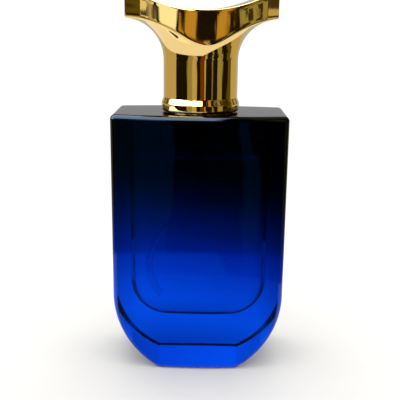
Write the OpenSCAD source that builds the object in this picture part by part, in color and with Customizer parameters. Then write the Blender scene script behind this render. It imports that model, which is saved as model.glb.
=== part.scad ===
// Aftershave bottle: a thick glass flask with a crimped spray pump and a pull-off winged cap.
// Millimetres, +Z up, front towards -Y, origin on the standing plane under the middle of the base.

/* [Flask] */
// Width of the glass flask
flask_w = 68; // [64:1:74]
// Height of the glass flask without its neck
flask_h = 102.9; // [98:0.1:110]
// Depth of the flask on its centre line
flask_depth = 38; // [36:0.5:42]
// Depth of the flask along its two flat sides
side_depth = 31; // [29:0.5:33]
// Width of the flat that the flask stands on
base_w = 31.4; // [26:0.2:34]
// Rounding of the glass edges
glass_edge = 1.9; // [1:0.1:2.2]
// Thickness of the glass side walls
side_wall = 7.5; // [6.5:0.25:8.5]
// Thickness of the glass front and back walls
face_wall = 6; // [5:0.25:6.5]
// Height of the thick glass foot below the hollow
foot_h = 21; // [20:1:26]
// Height of the liquid above the standing plane
fill_h = 86; // [70:1:90]

/* [Cap] */
// Outer diameter of the round stem of the cap
cap_stem_d = 29; // [28:0.5:31]
// Height at which the stem starts to flare, above the flask's top
flare_start = 19.9; // [19:0.1:22]
// Span of the cap from wing tip to wing tip
wing_span = 58.6; // [56:0.2:60]
// Depth of the winged block on its centre line
wing_depth = 31.4; // [31:0.1:33]
// Lowest height of the saddle on top, above the flask's top
saddle_h = 38.7; // [37.5:0.1:42]
// Radius of the saddle on top
saddle_r = 53; // [48:1:60]
// Turn of the cap on its round collar, at rest
cap_turn = 7; // [0:1:90]

/* [Pump] */
// Travel of the spray button
stroke = 5; // [3:0.5:5]
// Bore of the pump chamber
chamber_d = 7; // [6.6:0.1:7.2]
// Outer diameter of the hollow pump stem
stem_d = 4; // [3.6:0.1:4.2]
// Outer diameter of the spray button with its sleeve
button_d = 13.8; // [13:0.1:14]
// Outer diameter of the dip tube
tube_d = 3; // [2.6:0.1:3]
// Working turns of the return spring
spring_turns = 5; // [4:0.5:6]

/* [Hidden] */
$fn = 96;

// Small gaps: a sliding fit, parts that are clear of each other, and overrun of a cut
slide_gap = 0.05;
clear_gap = 0.1;
cut = 1;

// Flask: a half-round outline cut flat at the base, and faces that bulge as large cylinders
round_r = flask_w / 2;
round_z = sqrt(round_r * round_r - base_w * base_w / 4);
bulge = (flask_depth - side_depth) / 2;
face_r = (round_r * round_r + bulge * bulge) / (2 * bulge);
top_corner_r = 1.6;
hollow_corner_r = 14;
hollow_top_r = 6;
hollow_edge_r = 6;
shoulder_h = 7;
edge_steps = 3;

// Neck for a 15 mm crimped pump
neck_d = 13;
neck_bead_d = 15;
neck_bore_d = 10;
neck_h = 7.2;
bead_h = 3.4;
neck_top = flask_h + neck_h;

// Pump housing, from its flange on the gasket down to the tube socket
gasket_t = 1;
gasket_d = 14.6;
flange_z = neck_top + gasket_t;
flange_d = 13.8;
flange_t = 1.4;
housing_top = flange_z + flange_t;
barrel_d = 9.4;
piston_z = flask_h + 0.5;
closed_spring_h = 3.1;
chamber_z = piston_z - stroke - closed_spring_h;
barrel_z = chamber_z - 1;
ball_room_h = 3.3;
ball_lip_t = 0.7;
ball_seat_z = chamber_z - ball_lip_t - ball_room_h;
ball_room_d = 3.2;
ball_lip_d = 2;
ball_d = 2.5;
seat_d = 1.6;
tail_d = 5.4;
tail_z = flask_h - 20;
socket_top = flask_h - 13.4;

// Gland that closes the chamber and guides the stem
gland_flange_d = 12.6;
gland_flange_t = 0.8;
gland_z = flask_h + 6.2;
gland_top = housing_top + gland_flange_t;

// Ferrule rolled under the neck bead
ferrule_r = 8;
ferrule_t = 0.4;
ferrule_z = flask_h + neck_h - bead_h - 0.6;
ferrule_lip_r = 6.8;
ferrule_hole_r = 3.6;
ferrule_top = gland_top + ferrule_t;

// Collar that hides the ferrule and holds the cap
collar_r = 11.4;
collar_t = 0.5;
collar_top = flask_h + 16.6;
collar_foot_r = 12.3;
collar_foot_t = 1.3;
insert_top = collar_top - collar_t;
mouth_r = button_d / 2 + 0.4;

// Moving pump parts at rest
piston_h = 4.5;
stem_z = piston_z + 0.5;
stem_top = flask_h + 21.8;
stem_bore_d = 1.4;
stem_collar_d = 5.4;
button_z = flask_h + 16.2;
button_h = 10.3;
button_top = button_z + button_h;
sleeve_t = 0.55;
core_r = button_d / 2 - sleeve_t - 0.05;
spray_z = flask_h + 22.9;
nozzle_d = 4.4;
nozzle_t = 2.6;
window_d = 5.6;

// Spring
wire_d = 0.5;
spring_r = 2.5;
spring_len = piston_z - chamber_z;

// Dip tube: straight out of its socket, a bend to the left wall and a long curl back.
tube_wall = 0.4;
tube_top = socket_top - clear_gap;
tube_bend_r = 30;
tube_bend = 45;
tube_slope = 6;
tube_curl_r = 22;
tube_curl = 83;

// Cap
cap_z = flask_h + 0.3;
stem_r = cap_stem_d / 2;
foot_edge_r = 1.6;
foot_r = stem_r + 0.75;
foot_band_h = 3.2;
foot_slope_h = 2;
flare_z = flask_h + flare_start;
flare_r = 15.5;
block_top = flask_h + 50;
wing_face_r = 56;
tip_half = 4.9;
chamfer_slope = 1;
cap_hollow_r = 12.65;
cap_hollow_top = flask_h + 33;
liner_r = cap_hollow_r - slide_gap;
liner_z = flask_h + collar_foot_t + clear_gap;
liner_roof = 1;

// Outline of a flask seen from the front, drawn in X and Z, inset from the full one
module flask_outline(inset) {
    half = round_r - inset;
    top = flask_h - inset;
    difference() {
        union() {
            translate([0, round_z]) circle(r = half);
            translate([-half, round_z]) square([2 * half, top - top_corner_r - round_z]);
            translate([-half + top_corner_r, round_z])
                square([2 * (half - top_corner_r), top - round_z]);
            for (side = [-1, 1])
                translate([side * (half - top_corner_r), top - top_corner_r])
                    circle(r = top_corner_r, $fn = 32);
        }
        translate([-flask_w, inset - flask_w]) square([2 * flask_w, flask_w]);
    }
}

// Plan of the bulging front and back faces, inset from the full depth
module lens(inset) {
    intersection_for (side = [-1, 1])
        translate([0, side * (face_r - flask_depth / 2)])
            circle(r = face_r - inset, $fn = 360);
}

// Stands a drawing in X and Z upright and gives it a depth along Y
module upright(depth) {
    rotate([90, 0, 0]) linear_extrude(height = depth, center = true) children();
}

// Solid glass block: four nested blocks whose hull rounds the edges of the faces
module glass_block() {
    hull()
        for (step = [0 : edge_steps]) {
            turn = step * 90 / edge_steps;
            intersection() {
                upright(flask_depth * 2) flask_outline(glass_edge * (1 - sin(turn)));
                linear_extrude(height = flask_h) lens(glass_edge * (1 - cos(turn)));
            }
        }
}

// Rounded rectangle between two corners, drawn as straight strips and corner circles
module rounded(low, high, r_low, r_high) {
    translate([low[0], low[1] + r_low]) square([high[0] - low[0], high[1] - low[1] - r_low - r_high]);
    translate([low[0] + r_low, low[1]]) square([high[0] - low[0] - 2 * r_low, r_low + cut]);
    translate([low[0] + r_high, high[1] - r_high - cut])
        square([high[0] - low[0] - 2 * r_high, r_high + cut]);
    for (x = [low[0] + r_low, high[0] - r_low]) translate([x, low[1] + r_low]) circle(r = r_low);
    for (x = [low[0] + r_high, high[0] - r_high]) translate([x, high[1] - r_high]) circle(r = r_high);
}

// Hollow of the flask, which follows its faces, shrunk by a gap on every side
module hollow(gap) {
    half = round_r - side_wall - gap;
    depth = flask_depth / 2 - face_wall - gap;
    intersection() {
        upright(flask_depth)
            rounded([-half, foot_h + gap], [half, flask_h - shoulder_h - gap],
                    hollow_corner_r - gap, hollow_top_r - gap);
        linear_extrude(height = flask_h) intersection() {
            rounded([-half, -depth], [half, depth], hollow_edge_r - gap, hollow_edge_r - gap);
            lens(face_wall + gap);
        }
    }
}

// Ring between two heights
module ring(z_low, z_high, r_out, r_in) {
    translate([0, 0, z_low]) difference() {
        cylinder(r = r_out, h = z_high - z_low);
        translate([0, 0, -cut]) cylinder(r = r_in, h = z_high - z_low + 2 * cut);
    }
}

// One bend of a tube that starts at the origin heading down and turns towards -X
module bend(radius, angle) {
    rotate([-90, 0, 0]) translate([-radius, 0, 0])
        rotate_extrude(angle = angle) translate([radius, 0]) children();
}

// Moves its child from the start of such a bend to the end of it
module after_bend(radius, angle) {
    translate([-radius * (1 - cos(angle)), 0, -radius * sin(angle)]) rotate([0, angle, 0]) children();
}

// The whole run of the dip tube, with its cross-section given as a child
module tube_run() {
    straight = tube_top - tail_z + 1;
    translate([0, 0, tube_top - straight]) {
        linear_extrude(height = straight) children();
        bend(tube_bend_r, tube_bend) children();
        after_bend(tube_bend_r, tube_bend) translate([0, 0, -tube_slope]) {
            linear_extrude(height = tube_slope) children();
            mirror([1, 0, 0]) bend(tube_curl_r, tube_curl) children();
        }
    }
}

module glass_flask() {
    color([0.05, 0.16, 0.62])
        difference() {
            union() {
                glass_block();
                translate([0, 0, flask_h - cut]) cylinder(d = neck_d, h = neck_h + cut);
                translate([0, 0, neck_top - bead_h]) cylinder(d = neck_bead_d, h = bead_h);
            }
            hollow(0);
            translate([0, 0, flask_h - shoulder_h - cut])
                cylinder(d = neck_bore_d, h = shoulder_h + neck_h + 2 * cut);
        }
}

module aftershave_liquid() {
    color([0.75, 0.85, 0.95])
        difference() {
            intersection() {
                hollow(clear_gap);
                translate([-flask_w, -flask_w, 0]) cube([2 * flask_w, 2 * flask_w, fill_h]);
            }
            tube_run() circle(d = tube_d + 2 * clear_gap, $fn = 48);
            translate([0, 0, tail_z - clear_gap]) cylinder(d = tail_d + 2 * clear_gap, h = flask_h);
        }
}

module neck_gasket() {
    color([0.92, 0.92, 0.9]) ring(neck_top, flange_z, gasket_d / 2, barrel_d / 2 + clear_gap);
}

module pump_housing() {
    color([0.93, 0.94, 0.95])
        difference() {
            union() {
                translate([0, 0, flange_z]) cylinder(d = flange_d, h = flange_t);
                translate([0, 0, barrel_z]) cylinder(d = barrel_d, h = flange_z - barrel_z + cut);
                translate([0, 0, tail_z]) cylinder(d = tail_d, h = barrel_z - tail_z + cut);
            }
            translate([0, 0, chamber_z]) cylinder(d = chamber_d, h = flask_h);
            translate([0, 0, ball_seat_z + ball_room_h - clear_gap])
                cylinder(d = ball_lip_d, h = ball_lip_t + 2 * clear_gap);
            translate([0, 0, ball_seat_z]) cylinder(d = ball_room_d, h = ball_room_h);
            translate([0, 0, socket_top - clear_gap])
                cylinder(d = seat_d, h = ball_seat_z - socket_top + 2 * clear_gap);
            translate([0, 0, tail_z - cut])
                cylinder(d = tube_d + 2 * slide_gap, h = socket_top - tail_z + cut);
        }
}

module pump_gland() {
    color([0.85, 0.86, 0.88])
        difference() {
            union() {
                translate([0, 0, gland_z])
                    cylinder(d = chamber_d - 2 * slide_gap, h = housing_top - gland_z + clear_gap);
                translate([0, 0, housing_top]) cylinder(d = gland_flange_d, h = gland_flange_t);
            }
            translate([0, 0, gland_z - cut]) cylinder(d = stem_d + 2 * slide_gap, h = flask_h);
        }
}

module crimp_ferrule() {
    inner_r = ferrule_r - ferrule_t;
    color([0.8, 0.8, 0.8]) {
        ring(ferrule_z, ferrule_z + ferrule_t, inner_r + clear_gap, ferrule_lip_r);
        ring(ferrule_z, ferrule_top, ferrule_r, inner_r);
        ring(gland_top, ferrule_top, inner_r + clear_gap, ferrule_hole_r);
    }
}

module collar_insert() {
    inner_r = ferrule_r + clear_gap;
    outer_r = collar_r - collar_t - slide_gap;
    color([0.2, 0.2, 0.22])
        difference() {
            translate([0, 0, flask_h]) cylinder(r = outer_r, h = insert_top - flask_h);
            translate([0, 0, flask_h - cut])
                cylinder(r = inner_r, h = ferrule_top + clear_gap - flask_h + cut);
            translate([0, 0, flask_h]) cylinder(r = mouth_r, h = flask_h);
        }
}

module collar_shell() {
    inner_r = collar_r - collar_t;
    color([0.83, 0.66, 0.3]) {
        ring(flask_h, flask_h + collar_foot_t, collar_foot_r, inner_r);
        ring(flask_h, collar_top, collar_r, inner_r);
        ring(insert_top, collar_top, inner_r + clear_gap, mouth_r);
    }
}

module dip_tube() {
    color([0.9, 0.93, 0.97])
        tube_run() difference() {
            circle(d = tube_d, $fn = 48);
            circle(d = tube_d - 2 * tube_wall, $fn = 48);
        }
}

module inlet_ball() {
    rest_h = sqrt(ball_d * ball_d - seat_d * seat_d) / 2 + slide_gap;
    color([0.7, 0.72, 0.75]) translate([0, 0, ball_seat_z + rest_h]) sphere(d = ball_d);
}

// Coil of round wire, swept along a helix that lies flat at both ends
module return_spring() {
    per_turn = 14;
    sides = 8;
    rings = spring_turns * per_turn;
    rise = spring_len - wire_d;
    wire_ring = [for (i = [0 : rings])
        let (turn = 360 * i / per_turn, z = chamber_z + wire_d / 2 + rise * i / rings)
        [for (k = [0 : sides - 1])
            let (r = spring_r + wire_d / 2 * cos(360 * k / sides))
            [r * cos(turn), r * sin(turn), z + wire_d / 2 * sin(360 * k / sides)]]];
    points = [for (one = wire_ring) each one];
    skin = [for (i = [0 : rings - 1], k = [0 : sides - 1])
        let (next = (k + 1) % sides)
        [i * sides + k, (i + 1) * sides + k, (i + 1) * sides + next, i * sides + next]];
    start = [for (k = [0 : sides - 1]) k];
    end = [for (k = [sides - 1 : -1 : 0]) rings * sides + k];
    color([0.75, 0.76, 0.78]) polyhedron(points, concat(skin, [start, end]));
}

module pump_piston() {
    lip_r = chamber_d / 2 - slide_gap;
    waist_r = lip_r - 0.5;
    lip_h = 1.2;
    color([0.88, 0.9, 0.92])
        difference() {
            translate([0, 0, piston_z]) {
                cylinder(r = waist_r, h = piston_h);
                cylinder(r = lip_r, h = lip_h);
                translate([0, 0, piston_h - lip_h]) cylinder(r = lip_r, h = lip_h);
            }
            translate([0, 0, piston_z - cut])
                cylinder(d = stem_d + 2 * slide_gap, h = piston_h + 2 * cut);
        }
}

module pump_stem() {
    collar_z = piston_z + piston_h;
    color([0.9, 0.9, 0.92])
        difference() {
            union() {
                translate([0, 0, stem_z]) cylinder(d = stem_d, h = stem_top - stem_z);
                translate([0, 0, collar_z])
                    cylinder(d = stem_collar_d, h = gland_z - collar_z - clear_gap);
            }
            translate([0, 0, stem_z - cut]) cylinder(d = stem_bore_d, h = stem_top - stem_z + 2 * cut);
        }
}

// Core of the spray button, with the stem socket, the feed to the front and a finger dish on top
module spray_button() {
    dish_r = 14;
    dish_deep = 0.8;
    color([0.12, 0.12, 0.13])
        difference() {
            translate([0, 0, button_z]) cylinder(r = core_r, h = button_h);
            translate([0, 0, button_z - cut])
                cylinder(d = stem_d + 2 * slide_gap, h = stem_top - button_z + clear_gap + cut);
            translate([0, 0, stem_top]) cylinder(d = stem_bore_d, h = spray_z - stem_top);
            translate([0, 0, spray_z]) rotate([90, 0, 0]) {
                cylinder(d = stem_bore_d, h = core_r);
                translate([0, 0, core_r - nozzle_t])
                    cylinder(d = nozzle_d + 2 * slide_gap, h = nozzle_t + cut);
            }
            translate([0, 0, button_top + dish_r - dish_deep]) sphere(r = dish_r);
        }
}

module button_sleeve() {
    color([0.83, 0.66, 0.3])
        difference() {
            ring(button_z, button_top, button_d / 2, button_d / 2 - sleeve_t);
            translate([0, 0, spray_z]) rotate([90, 0, 0]) cylinder(d = window_d, h = button_d);
        }
}

// Small insert with the spray hole and a shallow dish round it
module nozzle_insert() {
    orifice_d = 0.6;
    face_d = 2.4;
    face_deep = 0.7;
    proud = 0.1;
    color([0.95, 0.95, 0.95])
        translate([0, 0, spray_z]) rotate([90, 0, 0]) translate([0, 0, core_r - nozzle_t])
            difference() {
                cylinder(d = nozzle_d, h = nozzle_t - proud);
                translate([0, 0, -cut]) cylinder(d = orifice_d, h = nozzle_t + 2 * cut);
                translate([0, 0, nozzle_t - face_deep - proud]) cylinder(d = face_d, h = cut);
            }
}

// Half section of the cap turned about its axis: foot band, stem and quarter-round flare
module cap_section() {
    translate([0, cap_z]) square([foot_r - foot_edge_r, foot_band_h]);
    translate([foot_r - foot_edge_r, cap_z + foot_edge_r]) circle(r = foot_edge_r, $fn = 48);
    translate([0, cap_z]) polygon([[0, foot_edge_r], [foot_r, foot_edge_r], [foot_r, foot_band_h],
                                   [stem_r, foot_band_h + foot_slope_h], [0, foot_band_h + foot_slope_h]]);
    translate([0, cap_z + foot_band_h]) square([stem_r, block_top - cap_z - foot_band_h]);
    translate([0, flare_z]) difference() {
        square([stem_r + flare_r, block_top - flare_z]);
        translate([stem_r + flare_r, 0]) circle(r = flare_r);
    }
}

// Plan of the wings: bulging front and back faces, chamfered corners and flat tips
module wing_plan() {
    reach = wing_depth / 2 + cut;
    corner_x = wing_span / 2 - (reach - tip_half) / chamfer_slope;
    intersection() {
        intersection_for (side = [-1, 1])
            translate([0, side * (wing_face_r - wing_depth / 2)]) circle(r = wing_face_r);
        polygon([for (s = [[1, -1], [1, 1], [-1, 1], [-1, -1]])
            each s[0] * s[1] < 0
                ? [[s[0] * corner_x, s[1] * reach], [s[0] * wing_span / 2, s[1] * tip_half]]
                : [[s[0] * wing_span / 2, s[1] * tip_half], [s[0] * corner_x, s[1] * reach]]]);
    }
}

module cap_shell() {
    color([0.86, 0.68, 0.3])
        rotate([0, 0, cap_turn]) difference() {
            intersection() {
                rotate_extrude() cap_section();
                translate([0, 0, flask_h]) linear_extrude(height = block_top - flask_h) wing_plan();
            }
            translate([0, 0, flask_h + saddle_h + saddle_r])
                rotate([90, 0, 0]) cylinder(r = saddle_r, h = 2 * wing_depth, center = true, $fn = 180);
            translate([0, 0, cap_z - cut]) cylinder(r = cap_hollow_r, h = cap_hollow_top - cap_z + cut);
        }
}

module cap_liner() {
    grip_r = collar_r + slide_gap;
    color([0.15, 0.15, 0.16])
        difference() {
            translate([0, 0, liner_z]) cylinder(r = liner_r, h = cap_hollow_top - liner_z);
            translate([0, 0, liner_z - cut])
                cylinder(r = grip_r, h = cap_hollow_top - liner_roof - liner_z + cut);
        }
}

glass_flask();
aftershave_liquid();
neck_gasket();
pump_housing();
pump_gland();
crimp_ferrule();
collar_insert();
collar_shell();
dip_tube();
inlet_ball();
return_spring();
pump_piston();
pump_stem();
spray_button();
button_sleeve();
nozzle_insert();
cap_shell();
cap_liner();
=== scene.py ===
"""Looks of the aftershave bottle: lacquered glass, liquid, gold cap and pump trim."""

import math

import bmesh
import bpy
from mathutils import Matrix, Vector


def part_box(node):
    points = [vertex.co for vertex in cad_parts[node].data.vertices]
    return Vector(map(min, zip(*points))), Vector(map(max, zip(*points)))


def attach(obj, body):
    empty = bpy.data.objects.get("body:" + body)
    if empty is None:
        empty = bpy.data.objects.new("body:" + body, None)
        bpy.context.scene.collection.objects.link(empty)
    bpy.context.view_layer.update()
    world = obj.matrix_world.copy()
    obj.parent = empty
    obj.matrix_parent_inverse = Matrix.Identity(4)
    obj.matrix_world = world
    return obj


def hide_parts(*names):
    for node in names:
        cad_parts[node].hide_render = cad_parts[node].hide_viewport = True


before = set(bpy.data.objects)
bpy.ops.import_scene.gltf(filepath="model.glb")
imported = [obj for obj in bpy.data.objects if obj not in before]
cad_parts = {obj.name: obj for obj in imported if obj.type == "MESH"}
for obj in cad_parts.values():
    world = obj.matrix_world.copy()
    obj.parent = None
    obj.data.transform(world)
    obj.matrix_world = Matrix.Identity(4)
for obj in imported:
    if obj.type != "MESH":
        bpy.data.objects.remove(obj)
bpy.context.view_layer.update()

MM = 0.001
TAU = math.tau

# ---- sizes taken from the frame, in metres -------------------------------------------------

FLASK_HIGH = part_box("glass_flask")[1]
LIQUID_LOW, LIQUID_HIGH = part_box("aftershave_liquid")
LINER_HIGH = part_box("cap_liner")[1]

HALF_W = FLASK_HIGH.x
HALF_D = FLASK_HIGH.y
NECK_TOP = FLASK_HIGH.z
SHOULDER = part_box("collar_shell")[0].z
FILL = LIQUID_HIGH.z
WET_GAP = 0.1 * MM  # between the frame's liquid and the wall of the hollow
SKIN = 0.02 * MM  # between the finished liquid and the wall of the hollow
CAVITY_HALF = LIQUID_HIGH.x + WET_GAP
CAVITY_DEEP = LIQUID_HIGH.y + WET_GAP
CAVITY_FLOOR = LIQUID_LOW.z - WET_GAP
CAVITY_TOP = SHOULDER - 7 * MM

# ---- shapes that the frame's boxes don't give ----------------------------------------------

BULGE = 3.5 * MM  # how far the middle of a face stands out past its sides
BASE_HALF = 15.7 * MM
ROUND_Z = math.sqrt(HALF_W**2 - BASE_HALF**2)
FACE_R = (HALF_W**2 + BULGE**2) / (2 * BULGE)
GLASS_EDGE = 1.9 * MM
TOP_CORNER = 1.9 * MM
NECK_R = 6.5 * MM
NECK_BEAD_R = 7.5 * MM
NECK_BEAD_H = 3.4 * MM
BORE_R = 5.0 * MM
BORE_OVERLAP = 2 * MM  # how far the bore and the neck reach into the solids that they join
NECK_OVERLAP = 1 * MM
CAVITY_LOW_R = 14 * MM
CAVITY_TOP_R = 8 * MM
CAVITY_EDGE = 6.5 * MM


# ---- mesh helpers --------------------------------------------------------------------------


def new_piece(name, bm, body, materials, crease=30, replaces=()):
    """Turns a bmesh into a finished piece: welded, facing outward, smooth below the crease angle."""
    bmesh.ops.remove_doubles(bm, verts=bm.verts, dist=1e-7)
    bmesh.ops.recalc_face_normals(bm, faces=bm.faces)
    mesh = bpy.data.meshes.new(name)
    bm.to_mesh(mesh)
    bm.free()
    mesh.shade_smooth()
    mesh.set_sharp_from_angle(angle=math.radians(crease))
    piece = bpy.data.objects.new(name, mesh)
    bpy.context.scene.collection.objects.link(piece)
    for material in materials:
        mesh.materials.append(material)
    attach(piece, body)
    if replaces:
        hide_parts(*replaces)
    return piece


def even_shading(piece):
    """Lets large faces decide the shading of their edges, so that flats look flat."""
    weighted = piece.modifiers.new("even", "WEIGHTED_NORMAL")
    weighted.keep_sharp = True
    weighted.weight = 80
    return piece


def loft(bm, rings, closed=True):
    """Faces between rings of equal length; returns the rings' vertices."""
    rows = [[bm.verts.new(p) for p in ring] for ring in rings]
    count = len(rows[0])
    last = count if closed else count - 1
    for a, b in zip(rows, rows[1:]):
        for i in range(last):
            j = (i + 1) % count
            bm.faces.new((a[i], a[j], b[j], b[i]))
    return rows


def lathe(profile, steps=96):
    """A bmesh turned about Z from (radius, height) points; points on the axis close it."""
    bm = bmesh.new()
    rings = [
        [
            Vector((r * math.cos(TAU * k / steps), r * math.sin(TAU * k / steps), z))
            for k in range(steps)
        ]
        for r, z in profile
    ]
    loft(bm, rings)
    bmesh.ops.remove_doubles(bm, verts=bm.verts, dist=1e-7)
    bmesh.ops.dissolve_degenerate(bm, edges=bm.edges, dist=1e-8)
    return bm


def softened(corners, steps=4):
    """A polyline of (x, y, radius) corners with each corner rounded by its radius."""
    points = []
    count = len(corners)
    for i, (x, y, radius) in enumerate(corners):
        here = Vector((x, y))
        if radius <= 0 or i in (0, count - 1):
            points.append((x, y))
            continue
        before = Vector(corners[i - 1][:2]) - here
        after = Vector(corners[i + 1][:2]) - here
        angle = before.angle(after)
        reach = min(radius / math.tan(angle / 2), before.length * 0.49, after.length * 0.49)
        start = here + before.normalized() * reach
        end = here + after.normalized() * reach
        for k in range(steps + 1):
            t = k / steps
            p = start * (1 - t) ** 2 + here * (2 * t * (1 - t)) + end * t**2
            points.append((p.x, p.y))
    return points


# ---- glass flask ---------------------------------------------------------------------------


def face_y(x, half_depth):
    """Half the depth of the lens-shaped plan at x."""
    radius = FACE_R - (HALF_D - half_depth)
    return half_depth - (radius - math.sqrt(radius**2 - x**2))


def arc(cx, cz, radius, a0, a1, steps):
    angles = [a0 + (a1 - a0) * k / steps for k in range(steps + 1)]
    return [(cx + radius * math.cos(a), cz + radius * math.sin(a)) for a in angles]


def line(x0, z0, x1, z1, steps):
    return [(x0 + (x1 - x0) * k / steps, z0 + (z1 - z0) * k / steps) for k in range(steps + 1)]


def mirrored(right_half):
    """A closed outline from its right half, which runs from the bottom middle to the top middle."""
    left = [(-x, z) for x, z in reversed(right_half[1:-1])]
    return right_half + left


def flask_outline(inset):
    """Outline of the flask in X and Z, moved inward by inset: a half round cut flat at the base."""
    half = HALF_W - inset
    flat = math.sqrt(half**2 - (ROUND_Z - inset) ** 2)
    corner = TOP_CORNER - inset
    low_angle = math.asin(-(ROUND_Z - inset) / half)
    top = SHOULDER - inset
    right = line(0, inset, flat, inset, 12)
    right += arc(0, ROUND_Z, half, low_angle, 0, 72)[1:]
    right += line(half, ROUND_Z, half, top - corner, 24)[1:]
    right += arc(half - corner, top - corner, corner, 0, TAU / 4, 8)[1:]
    right += line(half - corner, top, 0, top, 24)[1:]
    return mirrored(right)


def cavity_outline(inset):
    """Outline of the hollow in X and Z, moved inward by inset."""
    half = CAVITY_HALF - inset
    low, high = CAVITY_FLOOR + inset, CAVITY_TOP - inset
    r_low, r_high = CAVITY_LOW_R - inset, CAVITY_TOP_R - inset
    right = line(0, low, half - r_low, low, 8)
    right += arc(half - r_low, low + r_low, r_low, -TAU / 4, 0, 40)[1:]
    right += line(half, low + r_low, half, high - r_high, 24)[1:]
    right += arc(half - r_high, high - r_high, r_high, 0, TAU / 4, 12)[1:]
    right += line(half - r_high, high, 0, high, 8)[1:]
    return mirrored(right)


def lens_block(outline, edge, half_depth, spine, edge_steps=10, face_steps=22, wall_steps=6):
    """A closed block with the outline in X and Z, bulging faces and rounded face edges.
    spine is the heights between which the faces' quads meet on the middle line."""
    bm = bmesh.new()
    half_rings = []
    for k in range(edge_steps + 1):
        turn = TAU / 4 * k / edge_steps
        ring = outline(edge * (1 - math.sin(turn)))
        depth_cut = edge * (1 - math.cos(turn))
        half_rings.append([(x, face_y(x, half_depth) - depth_cut, z) for x, z in ring])
    inner = half_rings[0]
    low, high = spine
    face_rings = []
    for k in range(face_steps, 0, -1):
        t = k / face_steps
        ring = []
        for x, _, z in inner:
            mid = min(high, max(low, z))
            px, pz = x * (1 - t), z * (1 - t) + mid * t
            ring.append((px, face_y(px, half_depth), pz))
        face_rings.append(ring)
    front = [[(x, -y, z) for x, y, z in ring] for ring in face_rings + half_rings]
    back = list(reversed(face_rings + half_rings))
    side_a, side_b = front[-1], back[0]
    walls = []
    for k in range(1, wall_steps):
        t = k / wall_steps
        walls.append([tuple(a + (b - a) * t for a, b in zip(p, q)) for p, q in zip(side_a, side_b)])
    loft(bm, front + walls + back)
    bmesh.ops.remove_doubles(bm, verts=bm.verts, dist=2e-7)
    bmesh.ops.dissolve_degenerate(bm, edges=bm.edges, dist=1e-8)
    bmesh.ops.recalc_face_normals(bm, faces=bm.faces)
    return bm


def temp_object(name, bm):
    mesh = bpy.data.meshes.new(name)
    bm.to_mesh(mesh)
    bm.free()
    made = bpy.data.objects.new(name, mesh)
    bpy.context.scene.collection.objects.link(made)
    return made


def boolean(target, tool, operation):
    """Applies one boolean to target and deletes the tool."""
    step = target.modifiers.new("cut", "BOOLEAN")
    step.object = tool
    step.operation = operation
    step.solver = "EXACT"
    graph = bpy.context.evaluated_depsgraph_get()
    result = bpy.data.meshes.new_from_object(target.evaluated_get(graph))
    target.modifiers.clear()
    target.data = result
    bpy.data.objects.remove(tool)


def cavity_block(skin=0.0):
    """The hollow of the flask as a closed block, smaller by skin all round."""
    spine = (CAVITY_FLOOR + CAVITY_LOW_R, CAVITY_TOP - CAVITY_HALF)
    return lens_block(
        lambda inset: cavity_outline(inset + skin),
        CAVITY_EDGE - skin,
        CAVITY_DEEP - skin,
        spine,
        edge_steps=16,
        face_steps=14,
        wall_steps=4,
    )


def flask_mesh():
    """The outer block with its neck, less the hollow and the bore."""
    outer = temp_object(
        "outer",
        lens_block(flask_outline, GLASS_EDGE, HALF_D, (ROUND_Z, SHOULDER - HALF_W)),
    )
    bead_low = NECK_TOP - NECK_BEAD_H
    neck = softened(
        [
            (0, SHOULDER - NECK_OVERLAP, 0),
            (NECK_R, SHOULDER - NECK_OVERLAP, 0),
            (NECK_R, bead_low, 0.3 * MM),
            (NECK_BEAD_R, bead_low, 0.6 * MM),
            (NECK_BEAD_R, NECK_TOP, 0.6 * MM),
            (0, NECK_TOP, 0),
        ]
    )
    boolean(outer, temp_object("neck", lathe(neck, 64)), "UNION")
    bore_low, bore_high = CAVITY_TOP - BORE_OVERLAP, NECK_TOP + MM
    bore = [(0, bore_low), (BORE_R, bore_low), (BORE_R, bore_high), (0, bore_high)]
    boolean(outer, temp_object("cavity", cavity_block()), "DIFFERENCE")
    boolean(outer, temp_object("bore", lathe(bore, 64)), "DIFFERENCE")
    bm = bmesh.new()
    bm.from_mesh(outer.data)
    bpy.data.objects.remove(outer)
    return bm


def in_cavity(p):
    slack = 0.3 * MM
    return (
        abs(p.x) < CAVITY_HALF + slack
        and abs(p.y) < CAVITY_DEEP + slack
        and CAVITY_FLOOR - slack < p.z < CAVITY_TOP + slack
    )


LACQUERED, WETTED, CLEAR, EDGE = range(4)
FLAT_SIDE, FLAT_FACE = 0.06, 0.975  # a rounded edge has normals with a y between these


def glass_finish(middle, normal):
    """Which finish a face of the flask has."""
    if in_cavity(middle):
        return WETTED if middle.z < FILL else CLEAR
    if middle.z < SHOULDER and FLAT_SIDE < abs(normal.y) < FLAT_FACE:
        return EDGE
    from_axis = math.hypot(middle.x, middle.y)
    by_neck = from_axis < NECK_BEAD_R + MM and middle.z > CAVITY_TOP - MM
    bare = middle.z > SHOULDER + 0.05 * MM or from_axis < BORE_R + 0.1 * MM
    return CLEAR if by_neck and bare else LACQUERED


def make_flask(lacquered, wetted, clear, edge):
    finishes = [lacquered, wetted, clear, edge]
    piece = new_piece(
        "lacquered_glass", flask_mesh(), "flask", finishes, 22, ["glass_flask"]
    )
    for face in piece.data.polygons:
        face.material_index = glass_finish(face.center, face.normal)
    return even_shading(piece)


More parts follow.
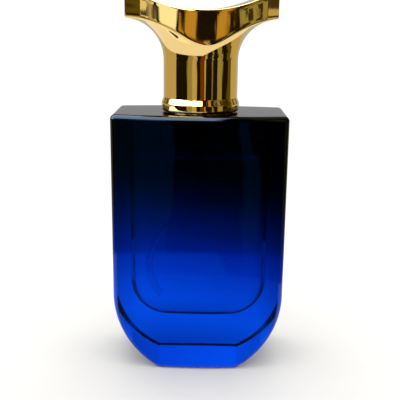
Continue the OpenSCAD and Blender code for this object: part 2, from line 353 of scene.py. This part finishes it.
def make_liquid(surface, side):
    """The liquid up to its level. Only the level bends light: the walls belong to the glass."""
    bm = cavity_block(SKIN)
    geometry = bm.verts[:] + bm.edges[:] + bm.faces[:]
    cut = bmesh.ops.bisect_plane(
        bm, geom=geometry, plane_co=(0, 0, FILL), plane_no=(0, 0, 1), clear_outer=True
    )
    rim = [e for e in cut["geom_cut"] if isinstance(e, bmesh.types.BMEdge)]
    bmesh.ops.edgeloop_fill(bm, edges=rim)
    piece = new_piece("liquid", bm, "flask", [side, surface], 40, ["aftershave_liquid"])
    for face in piece.data.polygons:
        if face.normal.z > 0.9 and face.center.z > FILL - 0.1 * MM:
            face.material_index = 1
    return piece


# ---- cap -----------------------------------------------------------------------------------

CAP_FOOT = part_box("cap_shell")[0].z
CAP_TURN = math.radians(7)
CAP_HALF_SPAN = 29.3 * MM
WING_HALF_D = 15.7 * MM
STEM_R = 14.5 * MM
FOOT_R = STEM_R + 0.75 * MM
FOOT_BAND = 3.2 * MM
FOOT_SLOPE = 2.0 * MM
FLARE_Z = SHOULDER + 19.9 * MM
FLARE_R = 15.5 * MM
SADDLE_R = 53 * MM
SADDLE_Z = SHOULDER + 38.7 * MM
WING_FACE_R = 56 * MM
TIP_HALF = 4.9 * MM
TIP_CORNER = (23.76 * MM, 10.44 * MM)
HOLLOW_R = LINER_HIGH.x + 0.05 * MM
HOLLOW_TOP = LINER_HIGH.z
TOP_BEVEL = 1.2 * MM
LOW_BEVEL = 0.9 * MM
CORNER_EDGE_R = 0.7 * MM  # roundings of the wing's upright edges
TIP_EDGE_R = 0.9 * MM
FOOT_EDGE_R = 1.6 * MM  # roundings up the foot: its lower edge, its band's top, its blend to the stem
FOOT_TOP_R = 1.0 * MM
FOOT_BLEND_R = 1.5 * MM
FLARE_STEPS = 28
SADDLE_STEPS = 30
WING_STEPS = 24


def wing_plan(count):
    """Rounded plan of the wings as (x, y) points round the axis, about count of them, evenly spread."""
    corner_x, corner_y = TIP_CORNER
    face = [
        (x, -(WING_HALF_D - (WING_FACE_R - math.sqrt(WING_FACE_R**2 - x**2))))
        for x in [corner_x * k / WING_STEPS for k in range(WING_STEPS + 1)]
    ]
    quarter = [(x, y, 0.0) for x, y in face[:-1]]
    quarter.append((corner_x, -corner_y, CORNER_EDGE_R))
    quarter.append((CAP_HALF_SPAN, -TIP_HALF, TIP_EDGE_R))
    quarter.append((CAP_HALF_SPAN, 0, 0.0))
    points = softened(quarter, 6)
    half = points + [(x, -y) for x, y in reversed(points[:-1])]
    loop = half + [(-x, y) for x, y in reversed(half[1:-1])]
    sides = list(zip(loop, loop[1:] + loop[:1]))
    step = sum(math.dist(p, q) for p, q in sides) / count
    plan = []
    for (px, py), (qx, qy) in sides:
        parts = max(1, round(math.dist((px, py), (qx, qy)) / step))
        plan += [(px + (qx - px) * k / parts, py + (qy - py) * k / parts) for k in range(parts)]
    return plan


def saddle_z(x):
    """Height of the saddle on top of the cap, a circle across the wings."""
    return SADDLE_Z + SADDLE_R - math.sqrt(SADDLE_R**2 - x**2)


def quadratic(a, b, c, steps):
    """Points of a curve from a to c that bends towards b."""
    return [
        tuple(p * (1 - t) ** 2 + q * 2 * t * (1 - t) + r * t**2 for p, q, r in zip(a, b, c))
        for t in [k / steps for k in range(steps + 1)]
    ]


def cap_profile(reach, ux):
    """Section of the cap in one direction from the axis, as (radius, height), from roof to saddle."""
    points = softened(
        [
            (0, HOLLOW_TOP, 0),
            (HOLLOW_R, HOLLOW_TOP, 0.2 * MM),
            (HOLLOW_R, CAP_FOOT, 0.3 * MM),
            (FOOT_R, CAP_FOOT, FOOT_EDGE_R),
            (FOOT_R, CAP_FOOT + FOOT_BAND, FOOT_TOP_R),
            (STEM_R, CAP_FOOT + FOOT_BAND + FOOT_SLOPE, FOOT_BLEND_R),
            (STEM_R, FLARE_Z, 0),
        ],
        8,
    )
    centre_r = STEM_R + FLARE_R
    edge = math.acos(min(1.0, max(0.0, (centre_r - reach) / FLARE_R)))
    edge = min(edge, TAU / 4)
    trim = LOW_BEVEL / FLARE_R
    flare = [(edge - trim) * k / FLARE_STEPS for k in range(1, FLARE_STEPS + 1)]
    points += [(centre_r - FLARE_R * math.cos(a), FLARE_Z + FLARE_R * math.sin(a)) for a in flare]
    corner_z = FLARE_Z + FLARE_R * math.sin(edge)
    top = saddle_z(reach * ux)
    points += quadratic(points[-1], (reach, corner_z), (reach, corner_z + LOW_BEVEL), 4)[1:]
    wall_low, wall_high = corner_z + LOW_BEVEL, top - TOP_BEVEL
    points += [(reach, wall_low + (wall_high - wall_low) * k / 6) for k in range(1, 7)]
    inner = reach - TOP_BEVEL
    points += quadratic((reach, wall_high), (reach, top), (inner, saddle_z(inner * ux)), 8)[1:]
    across = [inner * (1 - k / SADDLE_STEPS) for k in range(1, SADDLE_STEPS + 1)]
    points += [(r, saddle_z(r * ux)) for r in across]
    return points


def make_cap(gold):
    columns = []
    for x, y in wing_plan(420):
        reach = math.hypot(x, y)
        turned = math.atan2(y, x) + CAP_TURN
        tx, ty = math.cos(turned), math.sin(turned)
        columns.append([(r * tx, r * ty, z) for r, z in cap_profile(reach, x / reach)])
    bm = bmesh.new()
    loft(bm, [list(ring) for ring in zip(*columns)])
    bmesh.ops.remove_doubles(bm, verts=bm.verts, dist=1e-7)
    bmesh.ops.dissolve_degenerate(bm, edges=bm.edges, dist=1e-8)
    piece = new_piece("gold_cap", bm, "cap", [gold], 18, ["cap_shell"])
    return even_shading(piece)


# ---- materials -----------------------------------------------------------------------------


def material(name):
    """A new material, with its node tree and its shader."""
    made = bpy.data.materials.new(name)
    made.use_nodes = True
    nodes = made.node_tree.nodes
    shader = next(n for n in nodes if n.type == "BSDF_PRINCIPLED")
    return made, made.node_tree, shader


def node(tree, kind, **values):
    made = tree.nodes.new(kind)
    for key, value in values.items():
        setattr(made, key, value)
    return made


def ramp(tree, source, stops):
    """Colour between stops of (position, colour)."""
    made = node(tree, "ShaderNodeValToRGB")
    elements = made.color_ramp.elements
    while len(elements) < len(stops):
        elements.new(1.0)
    for element, (position, colour) in zip(elements, stops):
        element.position = position
        element.color = (*colour, 1)
    tree.links.new(source, made.inputs[0])
    return made.outputs[0]


def math_node(tree, operation, a, b=None):
    made = node(tree, "ShaderNodeMath", operation=operation)
    for socket, value in zip(made.inputs, (a, b)):
        if isinstance(value, (int, float)):
            socket.default_value = value
        elif value is not None:
            tree.links.new(value, socket)
    return made.outputs[0]


def object_axis(tree, axis):
    place = node(tree, "ShaderNodeTexCoord")
    split = node(tree, "ShaderNodeSeparateXYZ")
    tree.links.new(place.outputs["Object"], split.inputs[0])
    return split.outputs[axis]


def remap(tree, source, low, high, to_low=0.0, to_high=1.0):
    made = node(tree, "ShaderNodeMapRange")
    tree.links.new(source, made.inputs["Value"])
    limits = {"From Min": low, "From Max": high, "To Min": to_low, "To Max": to_high}
    for key, value in limits.items():
        made.inputs[key].default_value = value
    return made.outputs[0]


def noise(tree, scale, detail=3.0, stretch=(1, 1, 1), space="Object"):
    place = node(tree, "ShaderNodeTexCoord")
    mapping = node(tree, "ShaderNodeMapping")
    mapping.inputs["Scale"].default_value = stretch
    made = node(tree, "ShaderNodeTexNoise")
    made.inputs["Scale"].default_value = scale
    made.inputs["Detail"].default_value = detail
    tree.links.new(place.outputs[space], mapping.inputs[0])
    tree.links.new(mapping.outputs[0], made.inputs["Vector"])
    return made.outputs["Fac"]


def bump(tree, shader, height, strength, distance):
    made = node(tree, "ShaderNodeBump")
    made.inputs["Strength"].default_value = strength
    made.inputs["Distance"].default_value = distance
    tree.links.new(height, made.inputs["Height"])
    tree.links.new(made.outputs[0], shader.inputs["Normal"])


def mix_colour(tree, factor, a, b):
    made = node(tree, "ShaderNodeMix", data_type="RGBA")
    tree.links.new(factor, made.inputs["Factor"])
    for key, value in (("A", a), ("B", b)):
        if isinstance(value, tuple):
            made.inputs[key].default_value = (*value, 1)
        else:
            tree.links.new(value, made.inputs[key])
    return made.outputs["Result"]


# The lacquer's fade, up to the height where it is black
LACQUER_HIGH = 84 * MM
# Painted shade: the fade is tilted so that the right side goes dark lower, as if lit from the left
PAINTED_SHADE_TILT = 0.15
PAINTED_SHADE_START = 24 * MM  # from here outward the colour is darkened towards the sides: painted shade
PAINTED_SIDE_SHADE = 0.4
LACQUER = [
    (0.00, (0.0, 0.03, 0.5)),
    (0.15, (0.0, 0.07, 0.85)),
    (0.25, (0.0, 0.06, 0.8)),
    (0.50, (0.0, 0.015, 0.35)),
    (0.70, (0.0, 0.005, 0.08)),
    (0.85, (0.0, 0.001, 0.008)),
    (1.00, (0.0, 0.0002, 0.001)),
]
GLASS_IOR = 1.5
LIQUID_IOR = 1.36
TUBE_IN_LIQUID_IOR = 1.07


def lacquered_glass(name, sheen):
    """Glass under lacquer that fades from blue to black along a slightly tilted line. The tilt paints
    shade on the right, and more painted shade darkens the colour towards both sides.
    """
    made, tree, shader = material(name)
    x = object_axis(tree, "X")
    # painted shade: tilting the fade darkens the right side
    painted_shade_lift = math_node(tree, "MULTIPLY", x, PAINTED_SHADE_TILT)
    height = remap(tree, math_node(tree, "ADD", object_axis(tree, "Z"), painted_shade_lift), 0.0, LACQUER_HIGH)
    # painted shade: the lacquer colour darkens towards both sides
    painted_side_shade = remap(tree, math_node(tree, "ABSOLUTE", x), PAINTED_SHADE_START, HALF_W, 0.0, PAINTED_SIDE_SHADE)
    tint = mix_colour(tree, painted_side_shade, ramp(tree, height, LACQUER), (0.0, 0.0, 0.0))
    tree.links.new(tint, shader.inputs["Base Color"])
    shader.inputs["Transmission Weight"].default_value = 1.0
    shader.inputs["IOR"].default_value = GLASS_IOR
    shader.inputs["Specular Tint"].default_value = (*sheen, 1)
    wipe = remap(tree, noise(tree, 90, 4), 0.35, 0.75, 0.0, 0.025)
    tree.links.new(wipe, shader.inputs["Roughness"])
    bump(tree, shader, noise(tree, 40, 2), 0.04, 0.2 * MM)
    return made


def inner_glass(name, ior):
    """Clear glass or liquid; ior is the ratio between what lies on its two sides."""
    made, tree, shader = material(name)
    shader.inputs["Base Color"].default_value = (1, 1, 1, 1)
    shader.inputs["Transmission Weight"].default_value = 1.0
    shader.inputs["IOR"].default_value = ior
    tree.links.new(remap(tree, noise(tree, 60, 2), 0.3, 0.8, 0.0, 0.02), shader.inputs["Roughness"])
    return made


def liquid_side():
    """Passes light straight through: the bending at the wall belongs to the wetted glass."""
    made, _, shader = material("liquid_side")
    shader.inputs["Base Color"].default_value = (0.8, 0.9, 1, 1)
    shader.inputs["Alpha"].default_value = 0.0
    return made


def gold(name, tint=(1.0, 0.72, 0.29), rough=(0.02, 0.05)):
    """Polished plating with faint swirl marks and a slightly wavy casting below it."""
    made, tree, shader = material(name)
    shade = ramp(tree, noise(tree, 25, 2), [(0.3, tuple(c * 0.96 for c in tint)), (0.7, tint)])
    tree.links.new(shade, shader.inputs["Base Color"])
    shader.inputs["Metallic"].default_value = 1.0
    swirls = remap(tree, noise(tree, 700, 5, (1, 1, 0.2)), 0.3, 0.8, *rough)
    tree.links.new(swirls, shader.inputs["Roughness"])
    bump(tree, shader, noise(tree, 55, 1), 0.12, 0.15 * MM)
    return made


def plastic(name, colour, rough=(0.25, 0.4), grain=1500, through=0.0, subsurface=0.0):
    made, tree, shader = material(name)
    shade = ramp(tree, noise(tree, 80, 3), [(0.3, tuple(c * 0.92 for c in colour)), (0.7, colour)])
    tree.links.new(shade, shader.inputs["Base Color"])
    tree.links.new(remap(tree, noise(tree, grain, 2), 0.3, 0.7, *rough), shader.inputs["Roughness"])
    shader.inputs["Transmission Weight"].default_value = through
    shader.inputs["Subsurface Weight"].default_value = subsurface
    shader.inputs["Subsurface Radius"].default_value = (0.002, 0.002, 0.002)
    bump(tree, shader, noise(tree, grain, 2), 0.15, 0.02 * MM)
    return made


def wet_ior(made):
    """A clear part that stands in the liquid bends light only by the difference."""
    shader = next(n for n in made.node_tree.nodes if n.type == "BSDF_PRINCIPLED")
    shader.inputs["IOR"].default_value = TUBE_IN_LIQUID_IOR


def metal(name, colour, rough=(0.15, 0.3), stretch=(1, 1, 30)):
    made, tree, shader = material(name)
    worn = tuple(c * 0.85 for c in colour)
    shade = ramp(tree, noise(tree, 300, 3, stretch), [(0.3, worn), (0.7, colour)])
    tree.links.new(shade, shader.inputs["Base Color"])
    shader.inputs["Metallic"].default_value = 1.0
    tree.links.new(remap(tree, noise(tree, 400, 3, stretch), 0.3, 0.7, *rough), shader.inputs["Roughness"])
    return made


# ---- make everything -----------------------------------------------------------------------

gold_plate = gold("gold_plate")
gold_trim = gold("gold_anodised", (0.95, 0.7, 0.3), (0.12, 0.2))
black_plastic = plastic("black_plastic", (0.012, 0.012, 0.014))
white_plastic = plastic("white_plastic", (0.82, 0.84, 0.86), (0.2, 0.35), 900, 0.0, 0.3)
tube_plastic = plastic("tube_plastic", (0.92, 0.96, 1.0), (0.05, 0.12), 900, 1.0)
wet_ior(tube_plastic)
rubber = plastic("seal_rubber", (0.78, 0.78, 0.75), (0.5, 0.7), 600)
aluminium = metal("ferrule_aluminium", (0.8, 0.8, 0.82))
steel = metal("polished_steel", (0.72, 0.73, 0.76), (0.05, 0.15), (1, 1, 1))

make_flask(
    lacquered_glass("lacquered_glass", (0.0, 0.13, 0.8)),
    inner_glass("wetted_glass", GLASS_IOR / LIQUID_IOR),
    inner_glass("bare_glass", GLASS_IOR),
    lacquered_glass("lacquered_edge", (0.5, 0.72, 1.0)),
)
make_liquid(inner_glass("liquid_level", LIQUID_IOR), liquid_side())
make_cap(gold_plate)

FINISHES = {
    "neck_gasket": rubber,
    "pump_housing": white_plastic,
    "pump_gland": white_plastic,
    "crimp_ferrule": aluminium,
    "collar_insert": black_plastic,
    "collar_shell": gold_trim,
    "dip_tube": tube_plastic,
    "inlet_ball": steel,
    "return_spring": steel,
    "pump_piston": white_plastic,
    "pump_stem": white_plastic,
    "spray_button": black_plastic,
    "button_sleeve": gold_trim,
    "nozzle_insert": white_plastic,
    "cap_liner": black_plastic,
}
for name, finish in FINISHES.items():
    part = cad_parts[name]
    part.data.materials.clear()
    part.data.materials.append(finish)
    part.data.shade_smooth()
    part.data.set_sharp_from_angle(angle=math.radians(30))

# ---- floor, light and camera ---------------------------------------------------------------

FLOOR_R = 0.129


def make_floor():
    """A matt pale disc under the bottle."""
    made, tree, shader = material("pale_floor")
    tone = ramp(tree, noise(tree, 30, 3), [(0.0, (0.87, 0.86, 0.83)), (1.0, (0.91, 0.9, 0.87))])
    tree.links.new(tone, shader.inputs["Base Color"])
    shader.inputs["Roughness"].default_value = 0.9
    shader.inputs["Specular IOR Level"].default_value = 0.0
    bm = bmesh.new()
    bmesh.ops.create_circle(bm, cap_ends=True, segments=128, radius=FLOOR_R)
    floor = temp_object("floor", bm)
    floor.data.materials.append(made)
    floor.location.z = -0.02 * MM


# Directions into the studio have x to the right, y away from the camera and z up, on a unit sphere.
# Tones of the studio that polished surfaces mirror:
GREY = (0.50, 0.50, 0.50)
CLOTH = (0.01, 0.007, 0.001)
WARM = (0.50, 0.42, 0.20)
MOSS = (0.30, 0.28, 0.10)
OLIVE = (0.10, 0.08, 0.01)
RUST = (0.15, 0.04, 0.003)
AMBER = (0.50, 0.30, 0.05)
PALE = (0.80, 0.75, 0.50)
WINDOW = (1.0, 1.1, 1.0)

# Upright panels round the room, low and high: where each starts, in degrees to the right of the camera
PANEL_BLUR = 1
LOW_PANELS = [
    (-180, GREY),
    (-145, WARM),
    (-80, CLOTH),
    (-40, MOSS),
    (-25, WARM),
    (-10, CLOTH),
    (0, RUST),
    (15, WARM),
    (20, CLOTH),
    (35, MOSS),
    (40, CLOTH),
    (55, MOSS),
    (70, CLOTH),
    (90, OLIVE),
    (105, WARM),
    (145, GREY),
]
HIGH_PANELS = [
    (-180, GREY),
    (-145, WARM),
    (-100, OLIVE),
    (-70, PALE),
    (-30, CLOTH),
    (-25, WINDOW),
    (-10, CLOTH),
    (-5, AMBER),
    (5, CLOTH),
    (25, AMBER),
    (35, CLOTH),
    (45, MOSS),
    (75, OLIVE),
    (105, WARM),
    (145, GREY),
]
PANEL_SPLIT = (-0.05, -0.035)  # height at which the low panels give way to the high ones
PANEL_WAVE = 0.012

# Mottling of the high panels, out to both sides
STREAK = (0.03, 0.016, 0.002)
STREAK_STRETCH = (9, 9, 45)
STREAK_ASIDE = (0.48, 0.6)

# Dark ceiling over the backdrop, and a soft box overhead that reaches further down on the left
CEILING = (0.04, 0.03, 0.02)
SOFT_BOX = (6.0, 6.0, 6.2)
BOX_TILT = 0.67
BOX_EDGE = (0.45, 0.5)
BOX_RIGHT = (0.12, 0.06)

# Edge of the table against the room, which climbs to the right
TABLE = (0.9, 0.9, 0.88)
TABLE_EDGE = math.sin(math.radians(-18.9))
TABLE_SLANT = 0.35
TABLE_BLUR = 0.004

# Seen through the glass
BACK_TABLE = (1.1, 1.1, 1.1)
BACK_LOW = (0.75, 0.75, 0.75)
BACK_HIGH = (1.2, 1.2, 1.2)
BESIDE = (0.01, 0.012, 0.015)

WHITE_LIGHT = 1.25  # strength of the white surroundings for matt surfaces
WHITE_SEEN = 1.3  # and for the camera


def times(tree, a, b):
    return math_node(tree, "MULTIPLY", a, b)


def panel_stops(panels):
    """Colour stops round the room for panels that meet with soft edges."""
    stops = []
    for (start, tone), (end, _) in zip(panels, panels[1:] + [(180, None)]):
        stops += [(0.5 + angle / 360, tone) for angle in (start + PANEL_BLUR, end - PANEL_BLUR)]
    return stops


def panel_room(tree, x, y, z):
    """Panels all round, with wavy edges."""
    turn = math_node(tree, "ARCTAN2", x, times(tree, y, -1.0))
    waves = noise(tree, 9.0, 2.0, space="Generated")
    wave = remap(tree, waves, 0.3, 0.7, -PANEL_WAVE, PANEL_WAVE)
    place = math_node(tree, "ADD", math_node(tree, "DIVIDE", turn, TAU), 0.5)
    place = math_node(tree, "ADD", place, wave)
    low = ramp(tree, place, panel_stops(LOW_PANELS))
    high = ramp(tree, place, panel_stops(HIGH_PANELS))
    spots = noise(tree, 1.0, 3.0, STREAK_STRETCH, "Generated")
    aside = remap(tree, math_node(tree, "ABSOLUTE", x), *STREAK_ASIDE)
    streaks = times(tree, remap(tree, spots, 0.55, 0.49, 0.0, 0.95), aside)
    high = mix_colour(tree, streaks, high, STREAK)
    return mix_colour(tree, remap(tree, z, *PANEL_SPLIT), low, high)


def mirrored_studio(tree, x, y, z):
    """What polished surfaces mirror: the panels, the ceiling, the soft box and the table."""
    room = panel_room(tree, x, y, z)
    upper = times(tree, remap(tree, z, 0.17, 0.22), remap(tree, y, 0.55, 0.7))
    room = mix_colour(tree, upper, room, CEILING)
    above = math_node(tree, "SUBTRACT", z, times(tree, remap(tree, y, 0, 1), BOX_TILT))
    leftward = times(tree, remap(tree, x, -0.5, -1.0, 0.0, 0.5), remap(tree, z, 0.06, 0.1))
    above = math_node(tree, "ADD", above, leftward)
    overhead = times(tree, remap(tree, above, *BOX_EDGE), remap(tree, x, *BOX_RIGHT))
    room = mix_colour(tree, overhead, room, SOFT_BOX)
    height = math_node(tree, "ADD", z, remap(tree, x, 0.1, 0.9, 0.0, TABLE_SLANT))
    below = remap(tree, height, TABLE_EDGE + TABLE_BLUR, TABLE_EDGE - TABLE_BLUR)
    return mix_colour(tree, below, room, TABLE)


def behind_glass(tree, y, z):
    """What is seen through the glass: the backdrop over the table, and dark to both sides."""
    over_table = remap(tree, z, TABLE_EDGE - TABLE_BLUR, TABLE_EDGE + TABLE_BLUR)
    backdrop = mix_colour(tree, over_table, BACK_TABLE, BACK_LOW)
    backdrop = mix_colour(tree, remap(tree, z, 0.0, 0.4), backdrop, BACK_HIGH)
    return mix_colour(tree, remap(tree, y, 0.1, 0.5), BESIDE, backdrop)


def make_world():
    """White surroundings for the camera and for matt surfaces, and a dim studio for mirror and glass."""
    world = bpy.data.worlds.new("studio")
    bpy.context.scene.world = world
    world.use_nodes = True
    tree = world.node_tree
    tree.nodes.clear()
    place = node(tree, "ShaderNodeTexCoord")
    split = node(tree, "ShaderNodeSeparateXYZ")
    tree.links.new(place.outputs["Generated"], split.inputs[0])
    x, y, z = split.outputs
    path = node(tree, "ShaderNodeLightPath")
    glossy, transmitted = path.outputs["Is Glossy Ray"], path.outputs["Is Transmission Ray"]
    seen = mix_colour(tree, transmitted, mirrored_studio(tree, x, y, z), behind_glass(tree, y, z))
    mirror = node(tree, "ShaderNodeBackground")
    tree.links.new(seen, mirror.inputs["Color"])
    white = node(tree, "ShaderNodeBackground")
    strength = remap(tree, path.outputs["Is Camera Ray"], 0, 1, WHITE_LIGHT, WHITE_SEEN)
    tree.links.new(strength, white.inputs["Strength"])
    mix = node(tree, "ShaderNodeMixShader")
    tree.links.new(math_node(tree, "MAXIMUM", glossy, transmitted), mix.inputs[0])
    tree.links.new(white.outputs[0], mix.inputs[1])
    tree.links.new(mirror.outputs[0], mix.inputs[2])
    out = node(tree, "ShaderNodeOutputWorld")
    tree.links.new(mix.outputs[0], out.inputs[0])


def make_soft_light():
    """An area light overhead, which lights the floor and leaves a soft shadow round the foot."""
    data = bpy.data.lights.new("back_light", "AREA")
    data.size = 0.5
    data.energy = 1.9
    light = bpy.data.objects.new("back_light", data)
    bpy.context.scene.collection.objects.link(light)
    light.location = (-0.02, 0.1, 0.8)
    light.rotation_euler = (Vector((0, 0, 0)) - light.location).to_track_quat("-Z", "Y").to_euler()
    light.visible_camera = False
    light.visible_glossy = False
    light.visible_transmission = False


def make_camera():
    """A 63 mm lens a little above the cap, turned and tilted slightly."""
    data = bpy.data.cameras.new("camera")
    camera = bpy.data.objects.new("camera", data)
    bpy.context.scene.collection.objects.link(camera)
    bpy.context.scene.camera = camera
    data.sensor_width = 36
    data.lens = 63
    data.clip_start = 0.01
    turn, pitch, roll = math.radians(0.62), math.radians(14.56), math.radians(0.7)
    away, height, aside = 277.6 * MM, 138.4 * MM, 0.34 * MM
    camera.location = (
        aside * math.cos(turn) + away * math.sin(turn),
        aside * math.sin(turn) - away * math.cos(turn),
        height,
    )
    level = Matrix.Rotation(turn, 4, "Z") @ Matrix.Rotation(TAU / 4 - pitch, 4, "X")
    camera.rotation_euler = (level @ Matrix.Rotation(roll, 4, "Z")).to_euler()


make_floor()
make_world()
make_soft_light()
make_camera()
bpy.context.scene.view_settings.view_transform = "Standard"
